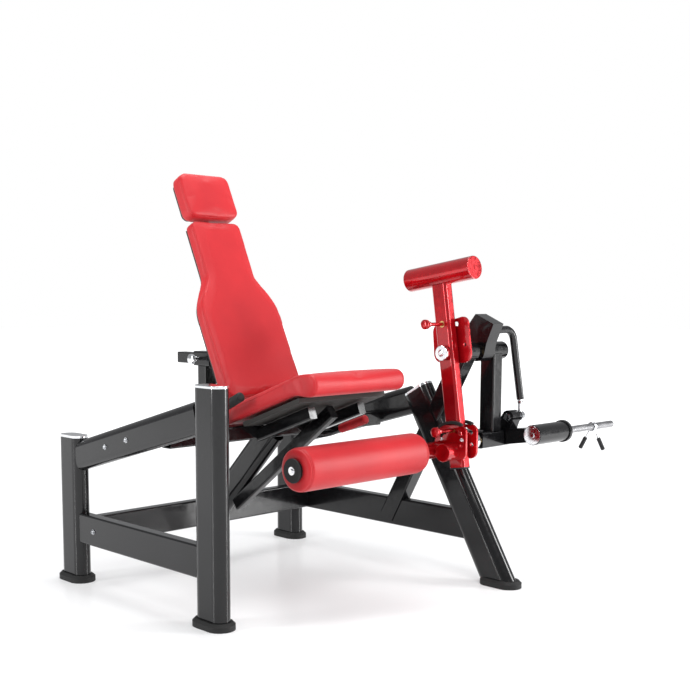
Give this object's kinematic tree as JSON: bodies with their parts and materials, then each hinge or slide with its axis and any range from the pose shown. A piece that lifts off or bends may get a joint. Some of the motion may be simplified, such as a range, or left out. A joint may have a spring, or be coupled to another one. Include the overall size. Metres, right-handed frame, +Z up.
{
  "type": "leg extension machine",
  "caption": "Plate-loaded leg extension: gloss black tube frame, red padded seat and reclined back, swinging lever with shin roller, linked weight arm.",
  "frame": {"origin": "on the floor, under the middle of the machine's bounding box", "axes": "+X to the user's left, where the weights hang; -Y the way the user faces; +Z up"},
  "size_m": [1.714, 1.1978, 1.3959],
  "materials": {
    "frame_gloss": "gloss",
    "red_gloss": "gloss",
    "red_vinyl": "satin",
    "red_grip": "matte",
    "black_rubber": "matte",
    "chrome": "polished",
    "bright_steel": "satin",
    "bronze_bush": "satin",
    "board": "matte",
    "black_plastic": "matte",
    "bar_grey": "satin"
  },
  "bodies": {
    "frame": {"right_rear_post": "frame_gloss", "right_front_post": "frame_gloss", "left_rear_post": "frame_gloss", "left_front_leg": "frame_gloss", "post_caps": "chrome", "rubber_feet": "black_rubber", "right_lower_rail": "frame_gloss", "left_lower_rail": "frame_gloss", "rear_cross_rail": "frame_gloss", "right_upper_beam": "frame_gloss", "left_upper_beam": "frame_gloss", "seat_cross_tube": "frame_gloss", "seat_post": "frame_gloss", "pivot_strut": "frame_gloss", "knee_housings": "frame_gloss", "weight_shaft_housing": "frame_gloss", "outrigger_post": "frame_gloss", "outrigger_brace": "frame_gloss", "bearing_bushes": "bronze_bush", "seat_cushion": "red_vinyl", "seat_board": "board", "seat_frame": "frame_gloss", "back_post": "frame_gloss", "grip_bars": "frame_gloss", "near_grip": "black_rubber", "far_grip": "red_grip", "frame_bolts": "bright_steel"},
    "crank": {"knee_shaft": "chrome", "crank_arm": "frame_gloss", "start_sector": "red_gloss"},
    "lever": {"lever_tube": "red_gloss", "lever_head": "red_gloss", "lever_end_cap": "black_plastic", "lever_bushes": "bronze_bush"},
    "start_pin": {"start_pin": "red_gloss"},
    "shin_pin": {"shin_pin": "red_gloss"},
    "shin_carrier": {"shin_hub": "red_gloss", "shin_sector": "red_gloss", "roller_arm": "red_gloss", "shin_bumper": "black_rubber", "sector_bolts": "chrome", "roller_end_disc": "black_plastic", "roller_bolt": "chrome"},
    "roller": {"roller_pad": "red_vinyl", "roller_sleeve": "black_plastic"},
    "link": {"link_rod": "frame_gloss", "rod_end": "chrome"},
    "weight_lever": {"weight_arm": "frame_gloss", "weight_shaft": "bright_steel", "weight_arm_caps": "chrome", "arm_bolt": "chrome", "horn_sleeve": "frame_gloss", "horn_bar": "bar_grey"},
    "collar": {"spring_collar": "chrome"},
    "backrest": {"backrest_cushion": "red_vinyl", "back_boards": "board", "headrest_cushion": "red_vinyl", "backrest_stem": "frame_gloss", "backrest_slide": "frame_gloss"},
    "back_pin": {"back_pin": "chrome"}
  },
  "joints": [
    {"name": "knee_extension", "type": "hinge", "parent": "frame", "child": "crank", "pos_m": [0.26, -0.363, 0.777], "axis": [-1, 0, 0], "range_deg": [0, 80]},
    {"name": "start_angle", "type": "hinge", "parent": "crank", "child": "lever", "pos_m": [0.082, -0.363, 0.777], "axis": [-1, 0, 0], "range_deg": [-16, 32]},
    {"name": "start_pin_pull", "type": "slide", "parent": "lever", "child": "start_pin", "axis": [-1, 0, 0], "range_m": [0, 0.012], "stiffness_N_per_m": 600},
    {"name": "shin_pin_pull", "type": "slide", "parent": "lever", "child": "shin_pin", "axis": [-1, 0, 0], "range_m": [0, 0.012], "stiffness_N_per_m": 600},
    {"name": "shin_angle", "type": "hinge", "parent": "lever", "child": "shin_carrier", "pos_m": [0.082, -0.41077, 0.45351], "axis": [-1, 0, 0], "range_deg": [-36, 36]},
    {"name": "roller_spin", "type": "hinge", "parent": "shin_carrier", "child": "roller", "pos_m": [-0.336, -0.34877, 0.45351], "axis": [1, 0, 0], "continuous": true},
    {"name": "link_swing", "type": "hinge", "parent": "crank", "child": "link", "pos_m": [0.26, -0.4, 0.85], "axis": [-1, 0, 0], "range_deg": [-80, 0]},
    {"name": "weight_swing", "type": "hinge", "parent": "frame", "child": "weight_lever", "pos_m": [0.389, -0.363, 0.47], "axis": [-1, 0, 0], "range_deg": [0, 80]},
    {"name": "collar_slide", "type": "slide", "parent": "weight_lever", "child": "collar", "axis": [1, 0, 0], "range_m": [-0.155, 0.105]},
    {"name": "back_adjust", "type": "slide", "parent": "frame", "child": "backrest", "axis": [0, 1, 0], "range_m": [-0.04, 0.06]},
    {"name": "back_pin_pull", "type": "slide", "parent": "frame", "child": "back_pin", "axis": [-1, 0, 0], "range_m": [0, 0.012], "stiffness_N_per_m": 600}
  ],
  "couplings": [
    {"joint": "weight_swing", "follows": "knee_extension", "ratio": 1},
    {"joint": "link_swing", "follows": "knee_extension", "ratio": -1}
  ]
}
